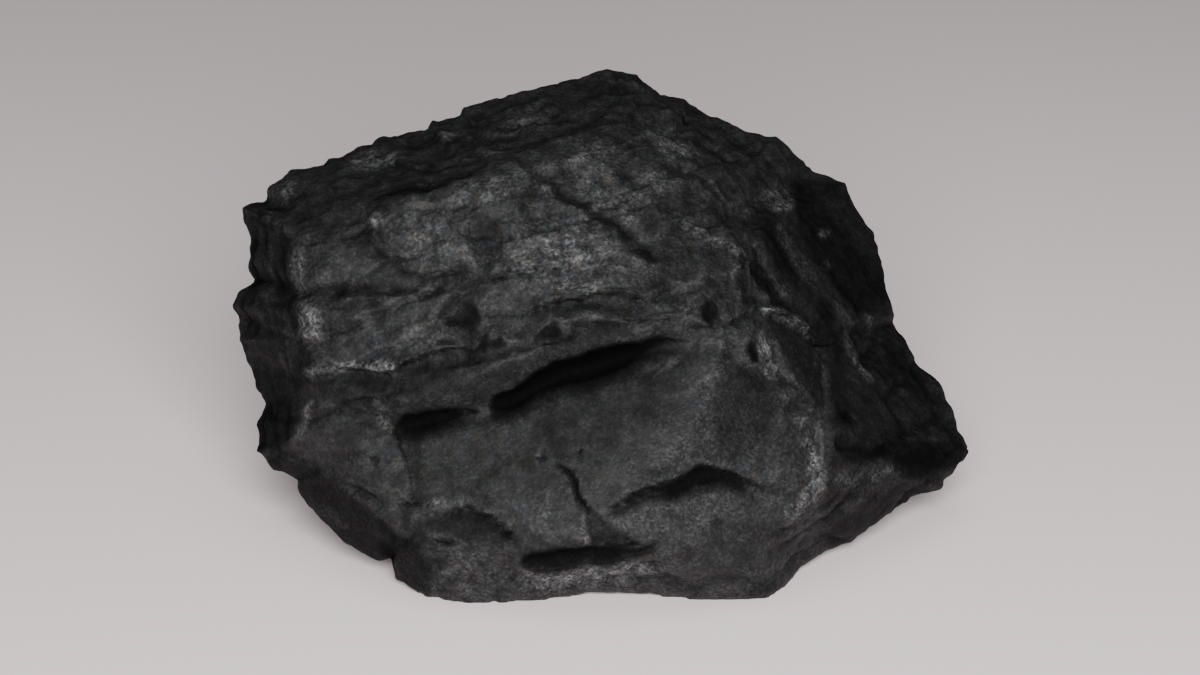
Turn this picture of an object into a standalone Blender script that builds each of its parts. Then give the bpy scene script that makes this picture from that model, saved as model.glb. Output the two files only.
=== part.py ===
"""A coal lump: one block of hard coal, broken off its seam and split by a few open partings.

The lump lies on its flat underside. X runs along its longest side, Y from its broken front to its back,
and Z up, with the origin on the ground under the middle of its box.
"""

import math

import bmesh
import bpy
from mathutils import Vector

NODE = "coal_lump"
MM = 0.001

# The front is laid out on a drawing plane that leans back by LEAN and passes MIDDLE_HEIGHT above the ground.
# A drawn corner is (across to the right, up the plane, out of the plane to the front), in millimetres.
LEAN = math.radians(20)
MIDDLE_HEIGHT = 31.5
ACROSS_WAY = Vector((1, 0, 0))
UP_WAY = Vector((0, math.sin(LEAN), math.cos(LEAN)))
OUT_WAY = Vector((0, -math.cos(LEAN), math.sin(LEAN)))

# The rim, clockwise from the peak: where the front half of the lump turns into its back half.
RIM = [
    (1, 45.5, -12), (10, 41.5, -14), (30, 34, -12), (41, 26.5, -14), (47.5, 14, -16), (56, -6, -12),
    (62, -18, -6), (56.5, -25, -4), (40, -35.5, 7), (-37, -36.5, 10), (-48, -27.5, 6), (-56.5, -19, 2),
    (-61.5, 5, 0), (-60, 21.5, 2), (-54.5, 26, 0), (-51, 29, -4), (-36, 34.5, -8), (-22.5, 38.5, -12),
]

# The front's own corners: along its top edge, along the brow that juts out across the middle,
# down its right edge, and along the toe at the bottom.
TOP_EDGE = [(-50, 15.5, 20), (-38, 20, 23), (-24, 25.5, 24), (-13, 28.5, 22), (3.5, 32, 16), (16.5, 27.5, 14)]
BROW = [(-47.5, 4.5, 24), (-46.5, -6.5, 25), (-32, -5.5, 30), (-16, 0.5, 34), (0, 6, 35), (14, 5, 34)]
RIGHT_EDGE = [
    (23.5, 16, 22), (23.5, 4.5, 28), (30.5, -6, 29), (36, -16.5, 29), (36, -23, 29), (31.5, -28.5, 30),
]
TOE = [
    (-49, -16.5, 16), (-32, -26.5, 28), (-27, -35, 32), (-11, -33, 38), (6.5, -33, 38), (22, -32, 33),
    (28, -35, 28),
]

# Corners given in space: the flat underside, (X, Y) on the ground, and the back, (X, Y, Z).
UNDERSIDE = [
    (-24, -39), (-31, -36), (-36, -22), (-40, 0), (-34, 22), (-10, 32), (20, 30), (36, 12), (40, -12),
    (29, -30), (25, -38),
]
BACK = [
    (-50, 18, 14), (-54, 22, 38), (-40, 34, 44), (-20, 40, 56), (8, 41, 60), (30, 36, 50), (46, 30, 34),
    (50, 22, 14), (25, 40, 20), (-15, 43, 18), (-42, 32, 16),
]

CHIPPED_EDGE = 1.0
SHARP_ANGLE = math.radians(20)

# What has broken away from the front: one convex piece each, by its corners on the drawing plane.
FRONT_CUTS = {
    "hollow_under_brow": [
        (-50, -16, 14), (-34, -14.5, 23), (-8, -7, 26), (15, 0, 28), (22, 3, 28),
        (-52, -8, 42), (-32, -6, 44), (0, 8, 48), (18, 7, 48),
        (-52, -30, 44), (-30, -45, 44), (8, -47, 46), (34, -24, 44),
    ],
    "left_of_long_parting": [
        (-36, -15.5, 30), (-27, -17.2, 30), (-17, -12, 30), (-27, -12.2, 30),
        (-33, -13.5, 14), (-21, -11, 14),
    ],
    "right_of_long_parting": [
        (-20, -12.5, 32), (-8, -11.5, 32), (4, -6.5, 32), (15, 0.5, 32), (2, -0.5, 32), (-8, -4, 32),
        (-15, -9, 12), (9, -0.5, 12),
    ],
    "left_of_slab_slot": [
        (2, -28, 45), (18, -23.5, 45), (18, -21.5, 45), (8, -25.5, 45), (5, -26.5, 28), (17, -22, 26),
    ],
    "right_of_slab_slot": [
        (16, -23.5, 45), (32, -26, 40), (24, -22.5, 45), (16, -21.5, 45), (17, -22, 26), (28, -24, 26),
    ],
    "slot_over_toe": [
        (-14, -38, 50), (10, -36, 50), (8, -34, 50), (-14, -35.5, 50), (-12, -36, 28), (6, -34.5, 28),
    ],
}
# What has broken away from the rim: each notch's (across, up) corners, cut straight from front to back.
RIM_NOTCHES = {
    "right_notch": [(45.5, 19), (48.5, 6), (62, -17), (72, 10)],
    "lower_right_notch": [(58, -24.2), (38, -34.8), (30, -42.5), (58, -50)],
    "left_notch": [(-62, 1), (-55.8, -10.5), (-57, -19), (-70, -10)],
}
NOTCH_FRONT = 40
NOTCH_BACK = -60
# What has broken away below and behind, by corners in space.
OTHER_CUTS = {
    "arch_under_toe": [
        (-13, -60, -5), (17, -60, -5), (-6, -60, 2.4), (8, -60, 2.4), (-6, -30, -0.5), (8, -30, -0.5),
    ],
    "parting_at_back": [
        (-44, 50, 30), (-44, 50, 33.5), (20, 60, 38), (20, 60, 34), (-34, 30, 31), (10, 32, 36),
    ],
}

COAL_COLOUR = (0.022, 0.022, 0.023, 1)
COAL_ROUGHNESS = 0.55


def drawn(corner):
    """The place in space of a corner on the drawing plane, in metres."""
    across, up, out = corner
    return (Vector((0, 0, MIDDLE_HEIGHT)) + across * ACROSS_WAY + up * UP_WAY + out * OUT_WAY) * MM


def in_space(corner):
    return Vector(corner) * MM


def clear_scene():
    for obj in list(bpy.data.objects):
        bpy.data.objects.remove(obj, do_unlink=True)


def new_collection(name):
    collection = bpy.data.collections.new(name)
    bpy.context.scene.collection.children.link(collection)
    return collection


def stretched_over(name, corners, collection):
    """An object whose faces are stretched tight over these corners, as a convex block."""
    block = bmesh.new()
    for corner in corners:
        block.verts.new(corner)
    hull = bmesh.ops.convex_hull(block, input=block.verts)
    left_over = hull["geom_interior"] + hull["geom_unused"]
    inner_corners = {item for item in left_over if isinstance(item, bmesh.types.BMVert)}
    bmesh.ops.delete(block, geom=list(inner_corners), context="VERTS")
    bmesh.ops.recalc_face_normals(block, faces=block.faces)
    mesh = bpy.data.meshes.new(name)
    block.to_mesh(mesh)
    block.free()
    obj = bpy.data.objects.new(name, mesh)
    collection.objects.link(obj)
    return obj


def chip_edges(lump):
    bevel = lump.modifiers.new("chipped_edges", "BEVEL")
    bevel.width = CHIPPED_EDGE * MM
    bevel.segments = 1
    bevel.limit_method = "ANGLE"
    bevel.angle_limit = SHARP_ANGLE


def cut_away(lump, name, corners, collection):
    cutter = stretched_over(name, corners, collection)
    cutter.hide_render = True
    cutter.display_type = "WIRE"
    cut = lump.modifiers.new(name, "BOOLEAN")
    cut.operation = "DIFFERENCE"
    cut.object = cutter


def stand_on_origin(lump, cutters):
    """Moves the lump and its cutters so that the origin is on the ground under the middle of its box."""
    bpy.context.view_layer.update()
    finished = lump.evaluated_get(bpy.context.evaluated_depsgraph_get())
    box = [Vector(corner) for corner in finished.bound_box]
    lowest = Vector(min(corner[axis] for corner in box) for axis in range(3))
    highest = Vector(max(corner[axis] for corner in box) for axis in range(3))
    middle = (lowest + highest) / 2
    for obj in [lump, *cutters]:
        obj.location = (-middle.x, -middle.y, -lowest.z)


def coal_material():
    coal = bpy.data.materials.new("coal")
    coal.use_nodes = True
    surface = coal.node_tree.nodes["Principled BSDF"]
    surface.inputs["Base Color"].default_value = COAL_COLOUR
    surface.inputs["Roughness"].default_value = COAL_ROUGHNESS
    surface.inputs["Metallic"].default_value = 0
    return coal


def main():
    clear_scene()
    lump_collection = new_collection(NODE)
    cutter_collection = new_collection("cutters")

    corners = [drawn(corner) for corner in RIM + TOP_EDGE + BROW + RIGHT_EDGE + TOE]
    corners += [in_space((x, y, 0)) for x, y in UNDERSIDE]
    corners += [in_space(corner) for corner in BACK]
    lump = stretched_over(NODE, corners, lump_collection)
    chip_edges(lump)

    for name, cut in FRONT_CUTS.items():
        cut_away(lump, name, [drawn(corner) for corner in cut], cutter_collection)
    for name, notch in RIM_NOTCHES.items():
        ends = [(across, up, out) for across, up in notch for out in (NOTCH_FRONT, NOTCH_BACK)]
        cut_away(lump, name, [drawn(corner) for corner in ends], cutter_collection)
    for name, cut in OTHER_CUTS.items():
        cut_away(lump, name, [in_space(corner) for corner in cut], cutter_collection)

    lump.data.materials.append(coal_material())
    stand_on_origin(lump, cutter_collection.objects)


main()
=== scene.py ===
"""Looks for a lump of hard coal: one broken, bedded surface, and its black and faintly grainy finish.

The surface is laid out on a drawing plane that faces the camera. A place on it is (across, up) in
millimetres, as the camera sees it, and out is the distance from the plane towards the camera.
"""

import math

import bpy
import numpy as np
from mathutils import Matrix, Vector


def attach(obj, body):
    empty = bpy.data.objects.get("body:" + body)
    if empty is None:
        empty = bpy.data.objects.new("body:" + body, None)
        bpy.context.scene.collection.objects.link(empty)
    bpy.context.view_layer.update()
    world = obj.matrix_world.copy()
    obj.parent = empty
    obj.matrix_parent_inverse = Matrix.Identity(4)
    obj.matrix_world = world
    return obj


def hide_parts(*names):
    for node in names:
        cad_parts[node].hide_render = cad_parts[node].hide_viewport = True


bl_info = {
    "name": "Coal Lump",
    "version": (1, 0, 0),
    "blender": (4, 5, 0),
    "location": "View3D > Sidebar > Coal",
    "description": "Builds a broken lump of hard coal, its finish and a studio stage around it",
    "category": "Add Mesh",
}

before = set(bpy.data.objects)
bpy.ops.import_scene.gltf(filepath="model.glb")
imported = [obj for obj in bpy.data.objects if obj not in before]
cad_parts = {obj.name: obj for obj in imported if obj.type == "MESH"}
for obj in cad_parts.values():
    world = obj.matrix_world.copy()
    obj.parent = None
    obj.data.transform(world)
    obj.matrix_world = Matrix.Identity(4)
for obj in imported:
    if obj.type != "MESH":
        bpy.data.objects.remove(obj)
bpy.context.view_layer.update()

MM = 0.001
NODE = "coal_lump"

# The drawing plane leans back by LEAN, and MIDDLE is where its own origin lies in the frame, in millimetres.
LEAN = math.radians(20)
MIDDLE = np.array([-0.03, 1.9, 31.5])
ACROSS_WAY = np.array([1, 0, 0])
UP_WAY = np.array([0, math.sin(LEAN), math.cos(LEAN)])
OUT_WAY = np.array([0, -math.cos(LEAN), math.sin(LEAN)])
PLANE_WAYS = np.array([ACROSS_WAY, UP_WAY, OUT_WAY])
# The eye's distance from the drawing plane, and the camera's lens and film width, in millimetres.
EYE_DISTANCE = 667.0
LENS = 120
FILM_WIDTH = 36

# Cells of the surface's box grid across, up and out, and how evenly they spread over each side (0 to 1).
GRID_CELLS = (190, 136, 70)
GRID_HALF = np.array([61.0, 44.0, 40.0])
GRID_HEART = np.array([0.0, 0.0, -3.0])
GRID_EVENNESS = 0.9

# How sharp the block's edges are (per millimetre), what their softening costs, and how bent its faces are.
EDGE = 1.2
EDGE_LOSS = 0.55
WAVINESS = 0.14
WAVE_SIZE = 16
WAVES = 5

# The outline is fitted in this many steps round the lump, a little outside OUTLINE, and is this ragged.
OUTLINE_SLOTS = 720
OUTLINE_EASE = 0.55
OUTLINE_RAGGED = 0.14
# How far the drawn lines and shapes wander, and the share of the roughness that is missing at the outline.
WANDER = 0.55
RIM_CALM = 0.75
# How much of the beds' steps is missing in the quiet stretches behind.
BACK_CALM = 0.7

# The beds lie across this way. Thick and thin beds: their thickness, how far their steps stand out and how
# deep the partings between them are.
BED_WAY = np.array([-0.2, 0.12, 0.95])
THICK_BEDS = (7, 1.3, 0.5)
THIN_BEDS = (2.4, 0.45, 0.2)
# Broken cells: their spacing, how many times wider than high they are, the height of their relief and how
# far below the surface it starts.
WIDE_CELLS = (13, 1, 1.0, 0.6)
SMALL_CELLS = (4.5, 1.5, 0.8, 0.4)
# Fine grain and broad swells: their size and height.
FINE_GRAIN = (2.4, 0.22)
BROAD_SWELLS = (9, 0.3)

# Behind, fine ridges run along BACK_COMB at this height, and the block breaks into hollow scars this deep
# and this wide. It steps across CLEAT_WAY, and opens along a bed between two ends, (across, height).
BACK_COMB = (0.5, 0.2, -0.85)
BACK_COMB_HEIGHT = 0.4
BACK_BREAKS = 2.6
BACK_BREAK_SIZE = 16
CLEAT_WAY = (0.9, -0.4, 0.15)
CLEAT_SIZE = 9
CLEAT_STEP = 0.9
BACK_PARTING = ((-44, 31), (20, 36))
BACK_PARTING_DEPTH = 2.6
BACK_PARTING_WIDTH = 1.3

# Edges sharper than this are shaded as edges.
SHARP_ANGLE = math.radians(45)

# The outline of the lump as it is seen, clockwise from its peak, (across, up).
OUTLINE = [
    (1.2, 44.4), (6.2, 43.4), (10.3, 40.1), (13.7, 39.3), (17.8, 36.8), (23.3, 34.6), (29.2, 33.4),
    (31.7, 30.9), (35, 27.6), (37.5, 26.9), (40.3, 25.6), (42, 22.1), (45, 17.6), (46.2, 13.8),
    (47.3, 7.9), (49, 2.6), (51.9, -2.1), (54.3, -5.1), (56.4, -7.2), (58.2, -11), (59.6, -14.6),
    (61.2, -18.2), (60.4, -20.8), (58.2, -23.2), (56, -25.7), (52.4, -26.6), (48.3, -29.2), (41.2, -34.1),
    (37.8, -35.4), (33.3, -37.9), (30.8, -41.3), (27.5, -43.9), (16.7, -43.9), (8.3, -42.4),
    (-0.8, -41.9), (-11.7, -43.9), (-21.7, -44.6), (-28.3, -43.1), (-33.8, -39.9), (-35, -37.1),
    (-36.7, -37.1), (-42.2, -34.1), (-48.3, -27.9), (-50.8, -23.8), (-54.2, -22.1), (-56.7, -18.8),
    (-56.8, -14.1), (-55.8, -10.8), (-58, -5.4), (-60, -0.4), (-59.8, 2.6), (-60.8, 5.1), (-60, 7.6),
    (-58, 9.6), (-58.6, 16.3), (-59.4, 19.3), (-59.2, 21.4), (-58.4, 22.2), (-56.8, 23), (-54.2, 26.1),
    (-50.8, 28.4), (-45.5, 29.3), (-40.8, 31.3), (-35.8, 33.6), (-28.8, 34.6), (-27.5, 35.9),
    (-24.2, 36.3), (-22.5, 37.9), (-16.7, 39.6), (-8.3, 41.8), (-3.3, 42.9),
]

# The valley under the brow: its deepest line, (across, up, out), how fast the ground rises below and above
# it, how softly it meets the block, and where it fades in on the left and out on the right.
VALLEY = [
    (-58, -13.5, 17), (-50, -12.6, 20), (-42.5, -12.2, 22.5), (-35.5, -13.8, 24.3), (-33.3, -14.6, 24.6),
    (-28.3, -13.4, 25.3), (-21.7, -12.4, 26), (-18.3, -11.1, 26.2), (-11.7, -8.8, 26.5), (-5, -5.6, 27),
    (0, -4, 27.5), (6.7, -2.6, 28.2), (13.7, -0.9, 29.4), (20, 0.9, 31), (27, 2, 34),
]
SLAB_RISE = 0.40
BROW_RISE = 1.25
VALLEY_BLEND = 2.5
VALLEY_LEFT = (-57, -48)
VALLEY_RIGHT = (20, 26)

# Open gaps: their outline, their depth, how gently their walls fall, how strong the painted shade inside is
# and how far their worn lower lips, in painted shade, reach down.
GAPS = {
    "left_of_long_parting": (
        [(-33.9, -14.7), (-32.5, -13), (-30, -12.4), (-27.5, -12), (-25, -11.9), (-22.5, -11.9),
         (-20.4, -12.4), (-22.5, -13), (-25, -14.2), (-27.5, -14.9), (-30, -15.5), (-32.5, -15.8)],
        3, 0.7, 0.97, 1.2,
    ),
    "right_of_long_parting": (
        [(-18.8, -11.6), (-17.5, -9.4), (-15, -8.5), (-12.5, -6.9), (-10, -5.2), (-7.5, -4.3), (-5, -3.7),
         (-2.5, -2.5), (0, -1.8), (2.5, -1.3), (5, -0.8), (7.5, -0.6), (10, -0.5), (13.4, -0.6),
         (12.5, -1.2), (10, -1.7), (7.5, -2.6), (5, -4), (2.5, -5.6), (0, -6.4), (-2.5, -7.1), (-5, -7.9),
         (-7.5, -8.5), (-10, -9.2), (-12.4, -11.3), (-15, -12.2), (-17.5, -12.6)], 3.6, 0.7, 0.98, 1.2,
    ),
    "slab_slot": (
        [(0.8, -28.2), (4, -26.6), (6, -25.6), (8, -24.9), (10, -24.2), (12, -23.8), (14, -22.8),
         (16, -21.7), (18, -21.4), (20, -21.8), (22, -22.1), (24, -23.4), (26.2, -24.7), (24, -24.8),
         (22, -24.5), (20, -24.1), (18, -24.6), (16, -24.6), (14, -25.7), (12, -26.2), (10, -26),
         (8, -26.5), (6, -27.3), (3.8, -28), (1.6, -28.5)], 2.6, 0.6, 0.96, 1.1,
    ),
    "toe_slot": (
        [(-13, -37), (-11, -36.3), (-8.5, -36), (-5.8, -35.6), (-3.3, -35.3), (0, -35.2), (2.5, -35),
         (5, -34.9), (7, -34.8), (9.2, -34), (8.4, -35.1), (6.5, -36), (4, -36.8), (2, -37.5), (0, -38.1),
         (-2, -37.8), (-4, -38.3), (-6, -38.7), (-8.5, -39.2), (-11, -39), (-13.2, -38)],
        2.2, 0.7, 0.88, 0.7,
    ),
    "brow_hole": (
        [(-25.2, 2.4), (-24.2, 4.6), (-22.8, 5.8), (-21.4, 5.8), (-20.5, 4.6), (-20, 2.6), (-21.4, 1.6),
         (-23.4, 1.8)], 1.0, 1.5, 0.72, 0.7,
    ),
    "brow_pit_left": (
        [(-20.9, 1.2), (-19.8, 0.3), (-18.7, 0.8), (-18.7, -0.3), (-17.7, -0.5), (-16.7, 0),
         (-15.8, -0.9), (-17.5, -1.4), (-18.7, -1.2), (-19.3, -2.1), (-20.4, -1.7), (-20, -0.6)],
        1.3, 0.5, 0.9, 0.5,
    ),
    "brow_pit_right": (
        [(-11.1, -0.2), (-9.7, 1.6), (-7.8, 3), (-7, 1.6), (-6, 0.2), (-8, -0.3), (-9.4, -0.4)],
        1.2, 0.6, 0.85, 0.6,
    ),
    "flank_pit": (
        [(25, 0), (26, -0.6), (26.6, -2.2), (26.4, -3.4), (25.4, -3.2), (24.8, -1.8)], 1.6, 0.6, 1, 0.3,
    ),
    "slab_pit": (
        [(18.6, -30.6), (19.5, -30.4), (20.9, -30.8), (20.2, -31.4), (19.6, -32), (19.3, -31.2)],
        0.8, 0.5, 0.7, 0.3,
    ),
}

# Cracks and dips: the path, the width at its middle and the depth.
GROOVES = {
    "slot_tail": ([(22, -22.8), (28, -25.3), (34, -26.5)], 1.1, 0.6),
    "crack": (
        [(-8.4, -20.2), (-6.7, -21.5), (-5, -22.6), (-4.2, -23.6), (-4, -25), (-3.5, -26.6), (-2.4, -28),
         (-1.3, -29.4)], 1.1, 1.7,
    ),
    "crack_start": ([(-11, -19.8), (-9.6, -20.2), (-8.6, -20.3)], 1.0, 1.0),
    "slab_nick": ([(-3.4, -18.6), (-3, -20)], 0.9, 0.9),
    "left_face_pit": ([(-38.7, -19.3), (-37.9, -20), (-37.2, -21.1)], 1.1, 0.8),
    "ridge_pit": ([(5.2, 15.1), (7.9, 14.5), (10.2, 13.6)], 1.8, 1.4),
    "gap_between_knobs": ([(18.2, 8), (19.2, 5.6), (18.8, 3.4), (19.6, 1.4)], 1.5, 1.1),
    "front_and_flank_parting": ([(23.8, 15.6), (25, 11), (25.2, 7), (25.6, 3.6)], 1.6, 1.2),
    "flank_streak": ([(26.6, 20), (28.6, 17.6), (30.4, 14.2), (32.4, 10.6), (34.4, 7.6)], 3.2, 1.0),
    "flank_streak_low": ([(26, 12.6), (28, 10.4), (30.4, 7.4), (33, 4.6)], 2.2, 0.7),
    "wing_line": (
        [(39.6, -18.2), (42.5, -19.6), (45.3, -19.1), (48, -17.6), (51, -17.1), (55, -17.3), (60, -17.6)],
        1.5, 0.9,
    ),
    "hole_wedge": ([(-26.6, 2.4), (-24.8, 2.8), (-23.4, 2.6)], 1.2, 1.3),
    "pit_arm": ([(-28.4, -1.2), (-26.4, -0.5), (-24.6, -1)], 1.0, 0.9),
    "wing_pit": ([(39.6, -12.4), (41, -12.9), (42.4, -13.8)], 1.4, 1.3),
    "right_edge_line": ([(36.9, 1.2), (37, -4), (37, -9), (37.3, -14)], 1.3, 0.8),
    "dip_between_plates": ([(-20.8, 21.4), (-19, 17.5), (-18.4, 14), (-19, 10.4)], 5.0, 1.1),
    "toe_notch": ([(-37.4, -33), (-36, -35.2), (-35.2, -37.2), (-35, -39)], 1.8, 1.0),
    "toe_crack": ([(-28.4, -33.7), (-25.6, -34.3), (-23, -34.5)], 1.1, 0.9),
    "plate_shadow": (
        [(-38.2, 21.6), (-37.2, 23.8), (-33.6, 25), (-29, 25.5), (-25, 27), (-21.5, 28)], 1.3, 1.2,
    ),
    "panel_crack": ([(-51, 8), (-45, 8.3), (-37, 8.1), (-31, 7.5)], 1.0, 0.7),
}

# A worn lip's share of its gap's depth and of its painted shade.
LIP_DEPTH = 0.25
LIP_SHADE = 0.85
# The calm strip round every gap, in millimetres, and the share of the roughness that it takes away.
GAP_STRIP = 3
GAP_CALM = 0.8

# Cliffs: the path, with the low ground on its right as it runs, the drop, how far the low ground reaches,
# and how high a crest stands on the other side.
LEDGES = {
    "brow_edge": (
        [(-50, -6.8), (-46, -6), (-42, -5.9), (-38, -6.3), (-35, -6.4), (-32.6, -4.4), (-29, -3.1),
         (-26, -2.4), (-22.5, -2.2), (-19, -1.4), (-15, -0.4)], 1.5, 5, 0.5,
    ),
    "lip": (
        [(-13.6, 3.9), (-9.2, 5.9), (-6.7, 6.6), (-3.3, 6.7), (-0.8, 7.5), (3.3, 7.3), (7.5, 6.4),
         (11, 4.6)], 1.7, 5, 0.3,
    ),
    "top_mass": (
        [(12.5, 12.6), (8, 14.9), (4.2, 17.6), (2, 19.2), (-1.7, 22.1), (-5, 24), (-7.5, 26.2),
         (-10.8, 28.2), (-14.6, 31.2)], 1.5, 5, 0.5,
    ),
    "crest": ([(13.6, 19.8), (17.3, 17.7), (20.3, 16.3), (22.8, 14.9), (24, 12.8)], 1.5, 3, 0.5),
    "flank_crest": ([(26.6, 5), (30.8, 3.5), (33.3, 2.4), (36.4, 0.2)], 1.7, 3.5, 0.5),
    "upper_bed": (
        [(-41, 31.2), (-35, 29.8), (-28, 29.3), (-21, 30.4), (-15, 32.4), (-8, 34)], 1.1, 3.5, 0.2,
    ),
    "top_bed": ([(-32, 33.6), (-24, 33.8), (-16, 35.4), (-8, 37.6), (0, 38.8)], 0.9, 3, 0.2),
    "right_bed": ([(8, 37), (16, 34.2), (22, 30.6), (27, 27.6), (31, 25.4)], 1.0, 4, 0.2),
    "low_bed": ([(9, 29.6), (14, 28.6), (18, 26.2), (21, 23), (24.5, 20.4)], 1.0, 3.5, 0.2),
    "panel_bottom": (
        [(-19.6, 9.8), (-25, 8.4), (-30, 7.7), (-36.7, 8.1), (-45, 8), (-52, 7.6)], 0.8, 4, 0.2,
    ),
    "shell_edge": (
        [(-35, 23.8), (-38.6, 22.2), (-39.7, 19.9), (-38.8, 16.7), (-36, 13.9), (-32.5, 11), (-29.2, 9.8),
         (-25, 10.6), (-21.4, 12)], 1.4, 3, 0.3,
    ),
    "second_shell_edge": (
        [(-10.6, 24.6), (-11.4, 28), (-14.2, 30.2), (-18.3, 29.8), (-22.5, 27.6), (-27, 25.4)],
        1.0, 2.5, 0.3,
    ),
    "left_block": ([(-45.6, 6.6), (-45, 4.6), (-45.2, 2.4), (-46, 0)], -0.9, 2.5, 0.2),
    "streak_high": ([(-17, 17.6), (-11, 16), (-5, 16.6), (1, 15)], 0.7, 2.5, 0.2),
    "streak_low": ([(-17.5, 10.8), (-12, 11.8), (-6, 11.4), (0, 12.4), (6, 11)], 0.8, 2.5, 0.2),
    "left_face_edge": (
        [(-32.2, -28), (-31.3, -25.6), (-32.2, -21.2), (-33.3, -17.4), (-34, -14.8), (-35.2, -12.6),
         (-36, -10.2)], 0.6, 3, 0.3,
    ),
    "dark_block_edge": (
        [(45.5, 3.5), (40.8, 7.4), (36.4, 12.4), (33.2, 18.4), (33, 23), (34.5, 27.6)], 1.5, 6, 0.3,
    ),
    "flank_step": ([(44, -1), (39.4, 5), (35.6, 11), (31.4, 17.6), (30, 23)], -0.9, 3, 0.2),
    "left_flank_edge": (
        [(-55, 20), (-53.6, 15), (-52.8, 8), (-51, 2), (-50, -6), (-51, -14)], 0.9, 3, 0.4,
    ),
    "hackle_high": ([(10, -5.8), (13.6, -3.4)], 0.5, 1.6, 0.1),
    "hackle_low": ([(16, -8), (20.8, -6.4)], 0.5, 1.6, 0.1),
    "toe_step": ([(13, -33.6), (16, -35.4), (17.6, -38)], 0.6, 3, 0.2),
}

# How wide the cliffs' faces and crests are, and the painted shade along their foot: its width and its
# strength.
CLIFF = 0.9
CREST_WIDTH = 1.2
FOOT_WIDTH = 0.45
FOOT_SHADE = 0.6

# Plates that stand proud: their corners, their height and the width of their edge.
PLATES = {
    "shell": (
        [(-38.8, 19.9), (-38.3, 22), (-33.3, 23.8), (-28.3, 22.6), (-24.2, 20.9), (-21.7, 18),
         (-20.3, 14.6), (-21.7, 12.4), (-25, 10.9), (-29.2, 10), (-32.5, 11.3), (-35.8, 14.3), (-38, 17.1)],
        0.5, 5,
    ),
    "second_shell": (
        [(-27, 24.8), (-22.5, 26.9), (-18.3, 29.4), (-14.2, 29.6), (-12.2, 27), (-12.5, 23.8),
         (-16.7, 20.4), (-21.7, 21.4)], 0.8, 4,
    ),
    "tongue_below_lip": (
        [(-9.5, 4.4), (-3.3, 5.6), (3.3, 5.6), (8.7, 3.8), (9.4, 2), (5, 0.9), (-2, 1.3), (-7.5, 2.2)],
        1.0, 1.7,
    ),
    "left_knob": ([(12.6, 6.8), (16, 7.4), (17.8, 5), (17, 2.4), (14, 1.8), (12, 4)], 0.8, 2.4),
    "right_knob": ([(20.8, 5.8), (24, 5.2), (25, 2.4), (23, 0.2), (20.6, 1.6)], 0.7, 2.2),
    "left_block": ([(-50.5, 6), (-46, 5.8), (-45.4, 2), (-46.4, -0.6), (-50, -1)], 0.8, 1.2),
}

# Faces broken into the front: their corners, (across, up, drop), with the drop even between them.
FACETS = {
    "below_slab_edge": [
        (-31.3, -30.6, 0.4), (-28.3, -29.4, 1.4), (-24.7, -28.7, 1.8), (-21.8, -28.3, 1.9),
        (-18.3, -29.9, 1.7), (-13.3, -33.9, 1.2), (-16.7, -35.6, 0.2), (-21.8, -34.4, 0),
        (-26.7, -33.4, 0), (-30.8, -33.4, 0),
    ],
    "beside_crack": [
        (-3.4, -26.6, 0.4), (-1, -28.8, 1.0), (1.3, -31.2, 1.4), (4.6, -33.6, 1.8), (6.6, -34.4, 1.4),
        (-1.4, -35.2, 0.8), (-2.2, -32, 0.2), (-2.3, -29, 0.2),
    ],
    "flank_triangle": [
        (27.3, 4.2, 1.2), (31.7, 2.8, 1.8), (36.2, -0.3, 2), (36.3, -3.8, 1.2), (35.8, -9.6, 0.2),
        (33.3, -5.8, 0.4), (30.8, -2.1, 0.4), (28, 1.2, 0.6),
    ],
    "wing_face": [
        (39.4, -1, 0.6), (44, 3, 0.2), (50, -4, 0.2), (58, -15, 0.4), (50, -16.6, 1), (43, -16.6, 1.4),
        (39.2, -13, 1.4),
    ],
}

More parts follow.
